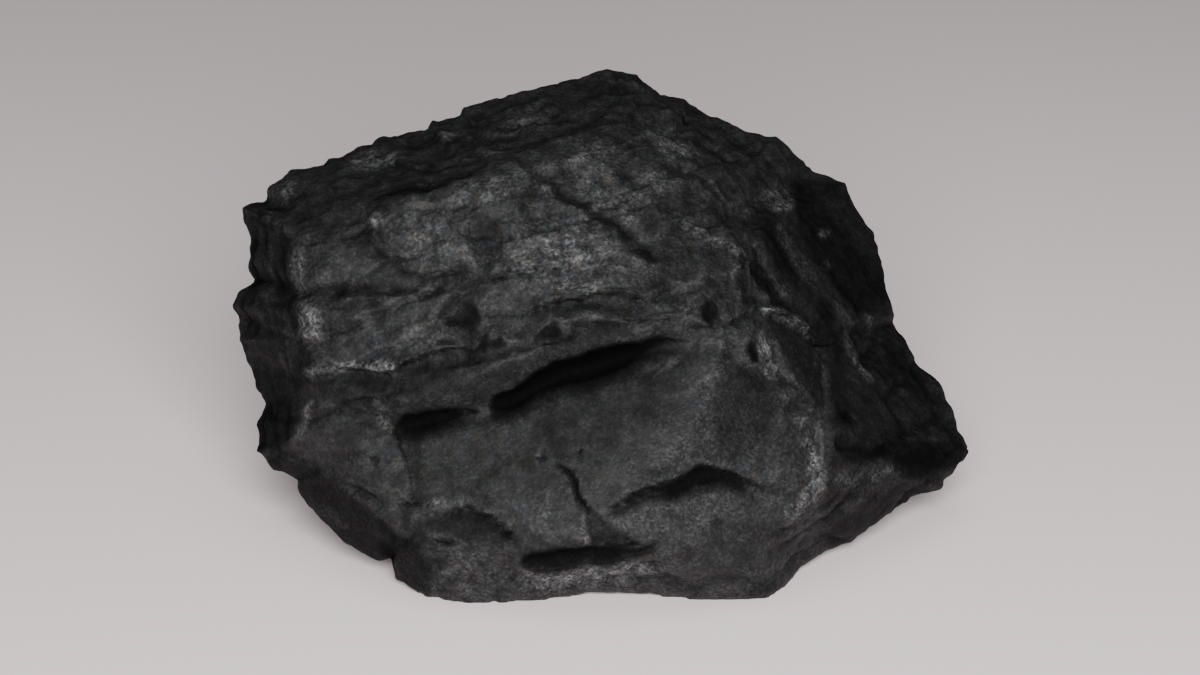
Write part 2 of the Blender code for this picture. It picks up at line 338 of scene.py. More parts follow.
# Calm faces: their corners, the width of their edge and how much of the roughness stays on them.
CALM = {
    "slab": (
        [(-31, -17), (-20, -14), (-10, -11), (0, -8), (12, -4), (20, -3), (30, -9), (35, -18), (34, -26),
         (28, -32), (29, -41), (12, -40), (10, -36), (-10, -34), (-20, -29), (-30, -26)], 3.0, 0.2,
    ),
    "below_brow": ([(-33, -6), (-14, -3), (0, -1.5), (0, -4), (-20, -11), (-34, -13)], 1.5, 0.45),
    "left_face": (
        [(-50, -14.6), (-42.5, -11.4), (-35.7, -11.8), (-33.3, -17.1), (-31.3, -25.4), (-35, -29.1),
         (-40, -25.4), (-50, -20.8), (-54.7, -19.1)], 1.5, 0.55,
    ),
    "left_toe_face": (
        [(-62, -16), (-54, -19.6), (-46, -22.6), (-38, -27.4), (-33.5, -31), (-34, -38), (-42, -44),
         (-62, -32)], 1.0, 0.08,
    ),
    "toe_corner": ([(-34.6, -33), (-29.5, -34.4), (-28, -43), (-33.5, -40.5), (-35.5, -37)], 1.2, 0.25),
    "left_panel": (
        [(-51, 8.6), (-40, 9), (-31, 9.4), (-36, 14), (-39.6, 18), (-47, 16.4), (-51.4, 15)], 1.5, 0.5,
    ),
    "shell": (
        [(-37.5, 20), (-33, 23), (-25, 20), (-21, 14.6), (-26, 11), (-32, 11.6), (-36, 15)], 1.5, 0.6,
    ),
    "flank": ([(28.3, 26), (34, 20), (44, 3), (40, -1), (31.7, 7.9), (26.5, 16)], 1.5, 0.3),
    "wing": (
        [(38.5, 0), (41.6, 1.6), (46, -6), (49.6, -13), (48, -16.4), (42, -16), (38.4, -12)], 2.0, 0.2,
    ),
    "low_right": (
        [(38.5, -18.4), (46.7, -19), (55, -18), (58, -20), (48.3, -29), (41.7, -34), (37.6, -33),
         (37.6, -25)], 1.5, 0.35,
    ),
    "right_edge": ([(36.6, -1), (39, -1), (39.4, -22), (37, -22)], 0.8, 0.25),
    "below_slab_edge": (
        [(-31, -30.4), (-26, -29), (-21, -28.6), (-14, -34), (-18, -35.5), (-28, -33.5)], 1.0, 0.3,
    ),
    "beside_crack": (
        [(-3.4, -26.8), (-1, -29), (1.3, -31.4), (4.6, -33.8), (-1.4, -35), (-2.1, -31)], 0.6, 0.3,
    ),
    "flank_triangle": (
        [(27.8, 3.4), (31.7, 2.2), (36.6, -1.2), (36.9, -5), (36.5, -11), (33.4, -6.4), (30.6, -1.6)],
        1.0, 0.4,
    ),
    "left_flank": ([(-64, 26), (-53, 22), (-51.6, 8), (-50, -8), (-53, -20), (-64, -20)], 2.0, 0.75),
    "dark_block": (
        [(33.6, 28), (42, 26), (50, 8), (45, 5.5), (40.4, 8.2), (36, 13), (33.4, 19.2)], 1.5, 0.6,
    ),
}

# Combed faces: their corners, the way that their fine ridges run, (across, up, out), the ridges' height and
# how strong the painted shade in the furrows between them is.
COMBED = {
    "flank": (
        [(27, 29), (40, 27), (47, 8), (62, -17), (40, -16), (37, -4), (25, 16)],
        (0.45, -0.8, -0.4), 0.3, 0.3,
    ),
    "low_right": (
        [(37, -18.5), (62, -17.6), (52, -30), (36, -38), (30, -40), (30, -32)],
        (0.7, 0.58, -0.4), 0.35, 0.5,
    ),
    "left_flank": (
        [(-64, 28), (-51.5, 22), (-51.6, 0), (-50, -8), (-54, -24), (-64, -20)],
        (-0.15, 0.95, 0.1), 0.3, 0.7,
    ),
    "top_rim": (
        [(-50, 27), (-36, 27), (-20, 30), (0, 34), (12, 36), (30, 29), (34, 34), (0, 48), (-56, 36)],
        (0.95, 0.25, -0.1), 0.4, 0.3,
    ),
}

# Bright bloom with painted sheen and highlights, painted on. A stroke has its path, its width and its
# strength.
BLOOM_AND_SHEEN_STROKES = {
    "brow_edge": (
        [(-49, -5.8), (-47, -5), (-44, -5.2), (-39, -5), (-36.6, -4.9), (-34.6, -5.6)], 1.5, 2.2,
    ),
    "crest": ([(14.4, 19.4), (17.4, 17.8), (20.3, 16.4), (23, 15)], 1.2, 1.4),
    "flank_crest": ([(28.6, 4.4), (30.8, 3.6), (33.3, 2.6), (36.4, 0.8)], 1.3, 2.6),
    "slab_corner": ([(31.4, -9), (33, -12.4), (33.6, -15)], 1.6, 0.5),
    "right_edge": ([(34.9, -17.6), (35.5, -20), (35.8, -24), (34.4, -27), (31.8, -29.2)], 1.7, 1.3),
    "bright_right_edge": (
        [(35.7, -17.8), (36.2, -20.2), (37, -22.6), (36.9, -24.6), (35.4, -26.6)], 1.3, 2.4,
    ),
    "left_face_top": ([(-37.6, -11), (-36.8, -13), (-35.2, -15)], 1.3, 1.4),
    "left_face_foot": ([(-33.4, -25.2), (-31.6, -27.2)], 1.2, 0.7),
    "slab_left_corner": ([(-29, -27.4), (-26.4, -27.4)], 1.2, 0.9),
    "left_rim_low": ([(-49.2, -11.2), (-50, -13.6), (-51, -16)], 1.3, 2.2),
    "left_rim_high": ([(-55.6, 21.4), (-54.4, 18.4)], 1.4, 1.2),
    "left_rim": ([(-56.4, 15), (-55.8, 8), (-57, 4)], 1.3, 0.5),
    "left_flank_edge": ([(-53.2, 1), (-52.8, -6), (-52, -12)], 1.2, 0.9),
    "flank_streak": ([(29.7, 18.8), (33, 13), (36.3, 9)], 1.3, 0.6),
    "wing_edge": ([(41.2, 0.6), (43, -3.6), (45.4, -7)], 1.2, 1.6),
    "below_dark_block": ([(39.8, 6), (41.4, 2.8)], 1.1, 1.0),
    "beside_dark_block": ([(45, 4.4), (46.2, -1)], 1.1, 1.0),
    "inner_flank_streak": ([(26.4, 15.6), (29, 11), (31.7, 8)], 1.1, 0.5),
    "low_right_top": ([(40.6, -23.8), (44, -24.2), (48, -22.4)], 2.6, 1.9),
    "low_right_foot": ([(39, -29), (43, -27.6), (47, -25.6)], 1.6, 0.7),
    "beside_crack": ([(-2.4, -31.6), (-1.9, -34.4)], 0.9, 0.6),
    "second_shell_end": ([(-10, 26.4), (-8, 25.4)], 0.9, 1.0),
    "low_hackle": ([(17, -7.2), (20.6, -6)], 0.7, 0.6),
    "high_hackle": ([(10.2, -5.2), (13.6, -3)], 0.7, 0.6),
    "toe_face": ([(-26, -39.8), (-16, -41), (-6, -39.6), (3, -39), (12, -37.6)], 4.5, 0.35),
    "toe_foot": ([(-12, -40.6), (-7, -41), (-3, -40.2), (3, -40), (7, -39.2)], 2.6, 2.0),
}
# A patch is (across, up, half width, half height, turn in degrees, strength).
BLOOM_AND_SHEEN_PATCHES = {
    "left_block": (-49.5, 2, 1.9, 3.4, 0, 3.2),
    "left_panel": (-43, 12, 6, 4, 0, 0.15),
    "left_panel_edge": (-51.2, 11.4, 1.2, 4, 0, 1.8),
    "shell": (-28.5, 16, 8, 5.5, -30, 0.6),
    "shell_tip": (-38, 20.2, 1.6, 1.8, 0, 1.3),
    "second_shell": (-19, 25.5, 7, 3, 25, 0.6),
    "top_left_corner": (-53, 25.4, 2.6, 1.4, 30, 1.3),
    "top_left_bed": (-37.5, 30.6, 4, 1.3, 10, 2),
    "top_bed": (-25, 34.8, 2.2, 0.9, 20, 0.8),
    "top_rim": (-12.5, 37.2, 4, 1.7, 18, 1.2),
    "below_top_rim": (-18, 31.6, 2.2, 1.1, 0, 1.2),
    "top_mass": (-0.5, 27, 3.2, 6, 25, 0.5),
    "top_mass_peak": (-1.6, 32, 2.8, 2.2, 0, 0.9),
    "right_of_peak": (12.5, 32.8, 5, 1.9, -30, 1.4),
    "low_bed": (9, 26.2, 3, 2, 0, 0.9),
    "below_low_bed": (5.2, 22.6, 2, 3.2, 0, 1.1),
    "bright_middle": (-8, 14.4, 11, 6, 8, 0.85),
    "brightest_middle": (-6.6, 15.6, 3.6, 1.9, 12, 1.9),
    "above_lip": (-3.6, 8.6, 5, 1.6, 2, 1.2),
    "left_knob": (15, 4.8, 2, 2.2, 0, 0.5),
    "brow": (-30, 1, 14, 4, 4, 0.25),
    "brow_corner": (-37.2, -5.1, 2.6, 1.2, 0, 4),
    "front_corner": (28.5, -2.6, 1.9, 3, 28, 3.3),
    "flank_crest_end": (35, 1.4, 1.4, 1.1, -40, 3.6),
    "upper_flank": (30.6, 23.6, 2.2, 2.2, 0, 5),
    "high_glint": (37.7, 17.6, 0.8, 0.8, 0, 5),
    "low_glint": (38.2, 12.3, 0.8, 0.8, 0, 4),
    "slab_low_left": (-9, -29.5, 6, 4, -20, 0.3),
    "slab_left_edge": (-25, -27.4, 2, 1, 0, 0.5),
    "toe_left": (-22, -38, 6, 4, 0, 0.35),
    "toe_foot": (-4, -41, 3, 1, 0, 2.6),
    "left_toe_rim": (-45, -29.4, 4, 1.2, -35, 0.9),
}
# Patches of painted shade, given as the patches of bloom and sheen are, but with the light that they keep.
SHADE_PATCHES = {
    "beside_left_block": (-45.8, 3.2, 1.5, 2.4, 0, 0.35),
    "below_left_panel": (-36, 9.6, 4, 1.6, 0, 0.6),
    "beside_shell": (-40, 17.2, 1.4, 2.4, 30, 0.5),
    "in_shell": (-34, 17, 2, 1.8, 0, 0.6),
    "below_shell": (-26, 12.4, 4.5, 1.4, -8, 0.62),
    "between_shells": (-21, 20.4, 3.4, 2, -30, 0.65),
    "above_bright_middle": (-14, 17.2, 2.4, 2, 0, 0.65),
    "below_bright_middle": (-17.4, 9.4, 3, 2, 0, 0.6),
    "under_brow_hole": (-22, 1.2, 3.2, 3, 35, 0.5),
    "under_top_mass": (3, 17.8, 4.4, 1.4, -35, 0.5),
    "beside_top_mass": (7, 20.8, 5, 1.4, -35, 0.6),
    "top_mass_foot": (12, 14.8, 2, 2, -30, 0.6),
    "under_low_bed": (5, 27, 4, 1.4, -25, 0.6),
    "above_crest": (20, 21, 4.4, 2, -35, 0.6),
    "beside_lip": (10, 10.2, 2.4, 2.2, 0, 0.45),
    "beside_tongue": (10.6, 1.8, 2.6, 1.7, 0, 0.45),
    "between_knobs": (19.2, 4.4, 1.4, 3.2, 8, 0.4),
    "above_long_parting": (-0.2, 0, 5, 1.5, 15, 0.45),
    "below_brow_corner": (-37.4, -10.7, 2.4, 1.5, 0, 0.5),
    "below_brow": (-29, -8.8, 2.6, 1.2, 10, 0.6),
    "slab_left_end": (-33.6, -16.2, 2.4, 1.6, 0, 0.55),
    "left_face_low": (-33, -26, 1.8, 3, 20, 0.55),
    "above_slab_slot": (10.6, -22.4, 5.6, 1.5, 25, 0.6),
    "slab_dip_foot": (22, -19.6, 2.6, 1.2, -10, 0.6),
    "high_flank_streak": (28.6, 18.2, 1.4, 3.4, 28, 0.45),
    "low_flank_streak": (27, 12.4, 1.5, 3, 28, 0.45),
    "front_parting_foot": (26.2, 6, 1.4, 2.8, 0, 0.5),
    "wing_rim": (50.2, -1.6, 1.4, 5, 30, 0.55),
    "toe_right_corner": (28, -41.8, 3, 1.4, 25, 0.6),
    "toe_left_corner": (-27.7, -38.2, 2, 1.6, 0, 0.55),
}
# Faces in painted shade: their corners, the width of their edge and how much light they keep.
SHADED_FACES = {
    "slab_right": (
        [(6, -7), (14, -3), (24, -4), (31, -9), (34, -15), (32, -21), (24, -20), (16, -20), (8, -15)],
        6.0, 0.85,
    ),
    "slab_right_dip": (
        [(20.5, -4.8), (26.7, -5.6), (29.5, -10.4), (28.6, -16), (25, -19.4), (19.8, -17.8), (19, -11)],
        2.5, 0.5,
    ),
    "slab_middle": ([(-12, -13), (0, -9), (12, -6), (16, -14), (6, -20), (-8, -19)], 5.0, 0.82),
    "brow_face": (
        [(-51, -4), (-36, -4), (-20, -1), (-4, 2), (-2, -2), (-18, -8), (-34, -12), (-50, -12)], 4.0, 0.76,
    ),
    "top": (
        [(-62, 25), (-50, 20), (-38, 24.5), (-26, 28.5), (-14, 32), (-2, 35), (6, 33), (22, 27), (28, 24),
         (60, 30), (0, 60), (-62, 40)], 4.0, 0.74,
    ),
    "dark_block": (
        [(33.4, 27), (42, 26), (50, 8), (45, 4), (40.8, 7), (36.6, 13), (33.6, 19.2)], 1.2, 0.4,
    ),
    "tip": (
        [(48.8, -19.1), (50.8, -18.1), (54.2, -17.6), (58.3, -16.8), (64, -15), (64, -21), (58, -22.4),
         (52.6, -23.4), (50, -23.4), (48.3, -20.8)], 1.4, 0.38,
    ),
    "wing_foot": (
        [(39.4, -17.2), (45, -17.2), (47.6, -16.4), (51, -16.2), (50.8, -18.2), (46.6, -19.9),
         (44.6, -21.8), (42, -20.8), (39.6, -19.2)], 1.5, 0.5,
    ),
    "wing_rim": (
        [(42.5, 2), (46.4, 2), (51, -2.4), (58, -7), (60, -11.4), (54, -10.4), (50.8, -8), (46.6, -5.4),
         (44.6, -2)], 1.5, 0.6,
    ),
    "low_right": (
        [(38.5, -18.4), (46.7, -19), (55, -18), (62, -20), (48.3, -32), (41.7, -38), (37.6, -34),
         (37.6, -25)], 1.5, 0.5,
    ),
    "left_flank": (
        [(-66, 28), (-55.4, 23), (-53.4, 18), (-52.8, 8), (-51, 1), (-50, -8), (-52, -18), (-66, -22)],
        1.4, 0.5,
    ),
    "beside_left_flank": (
        [(-54, 17), (-52.7, 17), (-52, 8), (-50.6, 5.6), (-50, 0), (-49, -4), (-48.6, -8), (-50, -8),
         (-50.4, -4), (-51.4, 0), (-53, 7), (-53.4, 12)], 0.8, 0.5,
    ),
    "left_flank_foot": ([(-60, -6), (-51, -6), (-51.4, -14), (-54, -19), (-62, -19)], 2.0, 0.55),
    "left_toe_face": (
        [(-60, -20), (-54, -19.8), (-46, -22.8), (-42, -25.4), (-36, -30.6), (-34, -33), (-35, -40),
         (-60, -34)], 0.8, 0.38,
    ),
    "toe_corner": ([(-34.6, -33), (-29.5, -34.4), (-28, -43), (-33.5, -42), (-36, -37)], 1.2, 0.42),
    "below_slab_edge": (
        [(-29.6, -31.2), (-26, -29.2), (-21.8, -28.6), (-18.3, -30.2), (-13.3, -34.2), (-17, -35.4),
         (-22, -34)], 0.8, 0.5,
    ),
    "beside_crack": (
        [(-3.4, -26.8), (-2, -27.4), (-0.6, -29.2), (1.4, -31.5), (3.4, -33.3), (6.6, -34), (8.2, -34.8),
         (-1.5, -35.4), (-1.7, -33), (-2.2, -31), (-2.3, -28.6)], 0.6, 0.42,
    ),
    "above_toe_slot": (
        [(-14, -34.9), (-8, -34.6), (-2, -34.6), (-1.6, -36), (-6, -36.6), (-13, -37.2)], 0.9, 0.55,
    ),
    "right_flank": (
        [(25.5, 22), (34, 27), (50, 8), (64, -18), (56, -22), (39, -18.4), (37.4, -2), (30, 5), (25.8, 12)],
        2.0, 0.49,
    ),
    "brow_shadow": (
        [(-51, -8), (-42, -6.6), (-34, -7.2), (-31, -5.4), (-24, -3.6), (-26, -6), (-34, -9.6), (-50, -9)],
        1.2, 0.66,
    ),
    "flank_triangle": (
        [(27.8, 3.4), (31.7, 2.2), (36.6, -1.2), (37, -5), (36.7, -12.6), (35.4, -10.4), (33.4, -6.4),
         (30.6, -1.6)], 1.0, 0.54,
    ),
    "wing_side": ([(38.9, 1), (40.8, 1), (40.8, -8), (42.4, -14.6), (39.6, -15), (38.8, -8)], 1.2, 0.62),
    "flank_foot": ([(36.8, 7), (39, 6), (38.9, -1.4), (37, -1.4), (36, 2)], 1.2, 0.45),
    "above_shell": (
        [(-39.8, 20.4), (-38.6, 23.6), (-33.6, 26.2), (-29, 27), (-25, 28), (-21, 28.6), (-21.4, 27.2),
         (-26, 25.4), (-31, 23.8), (-36.4, 22)], 1.0, 0.6,
    ),
}


# ---------------------------------------------------------------- arrays


def to_plane(points):
    """From points in the frame to (across, up, out) as the eye sees them: nearer ones lie further apart."""
    flat = (points - MIDDLE) @ PLANE_WAYS.T
    nearness = EYE_DISTANCE / (EYE_DISTANCE - flat[:, 2:])
    return np.hstack([flat[:, :2] * nearness, flat[:, 2:]])


def from_plane(seen):
    """The reverse of to_plane."""
    nearness = EYE_DISTANCE / (EYE_DISTANCE - seen[:, 2:])
    flat = np.hstack([seen[:, :2] / nearness, seen[:, 2:]])
    return flat @ PLANE_WAYS + MIDDLE


def soft_step(values, low, high):
    """0 below low, 1 above high, and a smooth cubic rise between them."""
    share = np.clip((values - low) / (high - low), 0, 1)
    return share * share * (3 - 2 * share)


def soft_minimum(first, second, blend):
    """The lower of two values, joined by a parabola where they are less than blend apart."""
    near = np.clip(1 - np.abs(first - second) / blend, 0, 1)
    return np.minimum(first, second) - near * near * blend / 4


def gradient_noise(points, seed):
    """Smooth noise of about -1 to 1: random slopes at the corners of a cubic lattice, blended smoothly."""
    random = np.random.default_rng(seed)
    order = random.permutation(256)
    slopes = random.normal(size=(256, 3))
    slopes /= np.linalg.norm(slopes, axis=1, keepdims=True)
    cell = np.floor(points).astype(int)
    within = points - cell
    blend = within**3 * (within * (within * 6 - 15) + 10)
    total = np.zeros(len(points))
    for corner in np.ndindex(2, 2, 2):
        key = (cell + corner) & 255
        pick = order[(order[(order[key[:, 0]] + key[:, 1]) & 255] + key[:, 2]) & 255]
        rise = ((within - corner) * slopes[pick]).sum(1)
        total += rise * np.where(corner, blend, 1 - blend).prod(1)
    return total * 1.6


def rough_noise(points, size, octaves, seed, fade=0.5):
    """A sum of gradient noises, each half the size and fade times the height of the one before it."""
    total = np.zeros(len(points))
    for octave in range(octaves):
        total += fade**octave * gradient_noise(points * 2**octave / size, seed + octave)
    return total


def nearest_on_path(places, path):
    """Distance to a path on the plane, the side (+1 left of its run) and how far along it, 0 to 1."""
    path = np.array(path, float)
    runs = np.linalg.norm(np.diff(path, axis=0), axis=1)
    starts = np.concatenate([[0], np.cumsum(runs)])
    best = np.full(len(places), np.inf)
    side = np.ones(len(places))
    share = np.zeros(len(places))
    for start, end, run, before in zip(path[:-1], path[1:], runs, starts):
        way = (end - start) / run
        offset = places - start
        along = np.clip(offset @ way, 0, run)
        gap = offset - along[:, None] * way
        distance = np.hypot(gap[:, 0], gap[:, 1])
        closer = distance < best
        best = np.where(closer, distance, best)
        side = np.where(closer, np.sign(way[0] * offset[:, 1] - way[1] * offset[:, 0] + 1e-9), side)
        share = np.where(closer, (before + along) / starts[-1], share)
    return best, side, share


def inside(places, corners):
    """How far inside a closed shape on the drawing plane each place is, in millimetres: negative outside."""
    corners = np.array(corners, float)
    distance, _, _ = nearest_on_path(places, np.vstack([corners, corners[:1]]))
    within = np.zeros(len(places), bool)
    for start, end in zip(corners, np.roll(corners, -1, axis=0)):
        crosses = (start[1] > places[:, 1]) != (end[1] > places[:, 1])
        with np.errstate(divide="ignore", invalid="ignore"):
            meet = start[0] + (places[:, 1] - start[1]) * (end[0] - start[0]) / (end[1] - start[1])
        within ^= crosses & (places[:, 0] < meet)
    return np.where(within, distance, -distance)


# ---------------------------------------------------------------- the block


def box_grid():
    """A closed grid of cells over a box: its points, -1 to 1 along each side, and its four-sided faces."""
    across, up, out = GRID_CELLS
    sheets = []
    for axis in range(3):
        first, second = [a for a in range(3) if a != axis]
        for end in (0, GRID_CELLS[axis]):
            rows, columns = np.meshgrid(
                np.arange(GRID_CELLS[first] + 1), np.arange(GRID_CELLS[second] + 1), indexing="ij"
            )
            steps = np.zeros(rows.shape + (3,), int)
            steps[..., first], steps[..., second], steps[..., axis] = rows, columns, end
            turned = (end == 0) == (axis != 1)
            sheets.append(steps.transpose(1, 0, 2) if turned else steps)
    keys = [(s[..., 0] * (up + 1) + s[..., 1]) * (out + 1) + s[..., 2] for s in sheets]
    kept, numbers = np.unique(np.concatenate([k.ravel() for k in keys]), return_inverse=True)
    row, last = np.divmod(kept, out + 1)
    steps = np.stack([row // (up + 1), row % (up + 1), last], axis=1)
    faces = []
    used = 0
    for key in keys:
        number = numbers[used : used + key.size].reshape(key.shape)
        used += key.size
        corners = [number[:-1, :-1], number[1:, :-1], number[1:, 1:], number[:-1, 1:]]
        faces.append(np.stack(corners, axis=-1).reshape(-1, 4))
    return 2 * steps / np.array(GRID_CELLS) - 1, np.vstack(faces)


def outer_planes(obj):
    """The flat faces of a CAD solid that have the whole solid behind them: outward normals and distances."""
    mesh = obj.data
    corners = np.empty(len(mesh.vertices) * 3)
    mesh.vertices.foreach_get("co", corners)
    corners = corners.reshape(-1, 3) / MM
    mesh.calc_loop_triangles()
    ends = np.empty(len(mesh.loop_triangles) * 3, int)
    mesh.loop_triangles.foreach_get("vertices", ends)
    first, second, third = (corners[ends.reshape(-1, 3)[:, i]] for i in range(3))
    normals = np.cross(second - first, third - first)
    area = np.linalg.norm(normals, axis=1)
    normals = normals[area > 0.05] / area[area > 0.05, None]
    distances = (normals * first[area > 0.05]).sum(1)
    furthest = (corners @ normals.T).max(0)
    outer = furthest < distances + 0.05
    planes = np.unique(np.round(np.column_stack([normals, distances])[outer], 3), axis=0)
    return planes[:, :3], planes[:, 3]


def vertex_normals(points, faces):
    """Unit normals of the surface: the sum of the normals of the cells around each point."""
    across = points[faces[:, 2]] - points[faces[:, 0]]
    along = points[faces[:, 3]] - points[faces[:, 1]]
    cell = np.cross(across, along)
    normals = np.zeros_like(points)
    for corner in range(4):
        for axis in range(3):
            normals[:, axis] += np.bincount(faces[:, corner], cell[:, axis], len(points))
    return normals / np.linalg.norm(normals, axis=1, keepdims=True)


def averaged(values, faces, rounds):
    """Values, or rows of values, averaged over the cells around each point, a number of times."""
    if values.ndim == 2:
        return np.stack([averaged(column, faces, rounds) for column in values.T], axis=1)
    count = np.bincount(faces.ravel(), minlength=len(values))
    for _ in range(rounds):
        mean = values[faces].mean(1)
        values = sum(np.bincount(faces[:, corner], mean, len(values)) for corner in range(4)) / count
    return values


def cell_relief(points, spacing, tilt, bowl, seed):
    """Broken cells: each scattered heart carries a tilted, hollow face, and the lowest face wins.

    The hearts are one to each cube of a lattice, shifted about in it at random. A face's height is its
    offset plus its slope times the way from its heart, plus the square of that way times bowl over
    spacing.
    """
    random = np.random.default_rng(seed)
    order = random.permutation(256)
    shifts = random.uniform(0, 1, (256, 3))
    slopes = random.normal(size=(256, 3))
    slopes *= tilt / np.linalg.norm(slopes, axis=1, keepdims=True)
    offsets = random.uniform(0, 1, 256) * tilt * spacing
    cell = np.floor(points / spacing).astype(int)
    lowest = np.full(len(points), np.inf)
    for neighbour in np.ndindex(5, 5, 5):
        if np.abs(np.array(neighbour) - 2).sum() > 4:
            continue
        key = cell + neighbour - 2
        pick = order[(order[(order[key[:, 0] & 255] + key[:, 1]) & 255] + key[:, 2]) & 255]
        gap = points - (key + shifts[pick]) * spacing
        height = offsets[pick] + (gap * slopes[pick]).sum(1) + (gap * gap).sum(1) * bowl / spacing
        lowest = np.minimum(lowest, height)
    return lowest / spacing


def bedding(points, way, thickness, seed):
    """Beds that stand out by different amounts: how far, 0 to 1, and 1 in the parting between two beds.

    A bed's number is the whole part of the height along way over thickness, bent by noise, and it gives
    way to the next bed in the last fifth.
    """
    way = np.array(way) / np.linalg.norm(way)
    bends = 0.55 * rough_noise(points, 34, 2, seed) + 0.1 * rough_noise(points, 5, 2, seed + 3)
    level = points @ way / thickness + bends
    bed = np.floor(level).astype(int)
    share = level - bed
    stand = np.random.default_rng(seed).uniform(0, 1, 256)
    here, above = stand[bed & 255], stand[(bed + 1) & 255]
    parting = np.exp(-(((share - 0.9) / 0.1) ** 2))
    return here + (above - here) * soft_step(share, 0.8, 1), parting


def combed_noise(points, way, seed):
    """Noise drawn out along a way, like the fine ridges of a torn face: 7 times as long as it is wide."""
    way = np.array(way) / np.linalg.norm(way)
    along = points @ way
    stretched = points - along[:, None] * way * (1 - 1 / 7)
    return rough_noise(stretched, 2.6, 2, seed, 0.6)


def pull_together(places, path, reach, pull):
    """Moves places on the drawing plane towards a path, most beside it and not at all beyond its reach."""
    path = np.array(path, float)
    best = np.full(len(places), np.inf)
    gap = np.zeros_like(places)
    for start, end in zip(path[:-1], path[1:]):
        way = end - start
        share = np.clip((places - start) @ way / (way @ way), 0, 1)
        offset = start + share[:, None] * way - places
        distance = np.hypot(offset[:, 0], offset[:, 1])
        closer = distance < best
        gap[closer] = offset[closer]
        best = np.minimum(best, distance)
    return places + gap * (pull * np.exp(-((best / reach) ** 2)))[:, None]


def fit_outline(seen, seed):
    """Stretches the rim so that the lump's outline, as it is seen, runs along OUTLINE. The middle stays.

    The widest reach in each direction is found in slots, and a point is scaled by goal over reach, to the
    fourth power of how near the outline it is.
    """
    target = np.vstack([OUTLINE, OUTLINE[:1]])
    fine = np.linspace(0, 1, 9)[:-1, None]
    target = np.vstack([start + (end - start) * fine for start, end in zip(target[:-1], target[1:])])
    target_turn = np.arctan2(target[:, 1], target[:, 0])
    order = np.argsort(target_turn)
    turn = np.arctan2(seen[:, 1], seen[:, 0])
    span = np.hypot(seen[:, 0], seen[:, 1])
    slot = np.clip(((turn + math.pi) / (2 * math.pi) * OUTLINE_SLOTS).astype(int), 0, OUTLINE_SLOTS - 1)
    widest = np.zeros(OUTLINE_SLOTS)
    np.maximum.at(widest, slot, span)
    widest = np.maximum.reduce([np.roll(widest, k) for k in (-2, -1, 0, 1, 2)])
    widest = sum(np.roll(widest, k) for k in (-1, 0, 1)) / 3
    middles = (np.arange(OUTLINE_SLOTS) + 0.5) / OUTLINE_SLOTS * 2 * math.pi - math.pi
    now = np.interp(turn, middles, widest, period=2 * math.pi)
    goal = np.interp(turn, target_turn[order], np.hypot(*target[order].T), period=2 * math.pi)
    goal += OUTLINE_EASE + OUTLINE_RAGGED * rough_noise(seen * [1, 1, 0.5], 3, 2, seed)
    weight = np.clip(span / now, 0, 1) ** 4
    scale = 1 + (goal / now - 1) * weight
    return np.column_stack([seen[:, :2] * scale[:, None], seen[:, 2]])


def quiet(places):
    """The share of the roughness left beside the gaps: little at their outlines, all GAP_STRIP away."""
    within = np.full(len(places), -np.inf)
    for corners, *_ in GAPS.values():
        within = np.maximum(within, inside(places, corners))
    return 1 - GAP_CALM * soft_step(within, -GAP_STRIP, 0)


def taper(share):
    """1 along the middle of a path, falling to 0 at both ends."""
    return 1 - np.abs(2 * share - 1) ** 2.5


def groove(places, path, width, depth, ragged):
    """How deep a groove along a path is: a ragged parabola, steep on its left side, thin at both ends."""
    distance, side, share = nearest_on_path(places, path)
    thin = 1 - (2 * share - 1) ** 2
    distance = np.maximum(distance + ragged * min(width * 0.25, 0.5) * thin, 0) * np.where(side > 0, 1, 0.7)
    half = width / 2 * thin**0.8 + 1e-6
    return depth * thin * np.clip(1 - (distance / half) ** 2, 0, 1)


def ledge(places, path, drop, reach, crest):
    """How far a cliff moves the ground out, and how much painted shade lies along its foot.

    The low side eases back over reach, a crest stands on the high side, and both fade at the path's ends.
    The foot's painted shade is exp(-(way / FOOT_WIDTH) ^ 2), at full strength for drops of 1.6 mm and more.
    """
    distance, side, share = nearest_on_path(places, path)
    signed = distance * side
    low = soft_step(-signed, -CLIFF / 2, CLIFF / 2)
    move = (1 - low) * crest * np.exp(-distance / CREST_WIDTH) - low * drop * np.exp(-distance / reach)
    strength = FOOT_SHADE * min(max(drop, 0) / 1.6, 1)
    foot = strength * np.exp(-(((signed + CLIFF / 2) / FOOT_WIDTH) ** 2))
    return taper(share) * move, taper(share) * foot


def plate(places, corners, lift, edge):
    """How far a closed shape stands proud: full height within edge of its outline."""
    return lift * soft_step(inside(places, corners), -edge / 3, edge)


def facet(places, corners):
    """How deep a face broken into the front is: the plane that best fits its corners' drops, where it is."""
    corners = np.array(corners)
    spread = np.column_stack([corners[:, :2], np.ones(len(corners))])
    slope, _, _, _ = np.linalg.lstsq(spread, corners[:, 2], rcond=None)
    drop = np.column_stack([places, np.ones(len(places))]) @ slope
    return np.maximum(drop, 0) * soft_step(inside(places, corners[:, :2]), -0.3, 0.5)


def open_gap(places, corners, deep, wall, darkness, lip, ragged):
    """How deep an open gap is, and how much painted shade it gets.

    It reaches 1 - exp(-way / wall) of its depth, where way is how far inside its outline a place is. Its
    lower lip is the same outline moved down by lip, softly edged.
    """
    within = inside(places, corners) + 0.3 * wall * ragged
    lower = inside(places + (0, lip), corners) + 0.2 * ragged
    # The lower lip: worn back, and in painted shade.
    lit_crest_and_shaded_lip = soft_step(lower, -0.9 * lip, 0.9 * lip)
    fallen = 1 - np.exp(-np.maximum(within, 0) / wall)
    # Painted shade inside the gap and on its lower lip.
    shade = np.maximum(soft_step(within, -0.7, 0.6), LIP_SHADE * lit_crest_and_shaded_lip)
    return deep * np.maximum(fallen, LIP_DEPTH * lit_crest_and_shaded_lip), darkness * shade


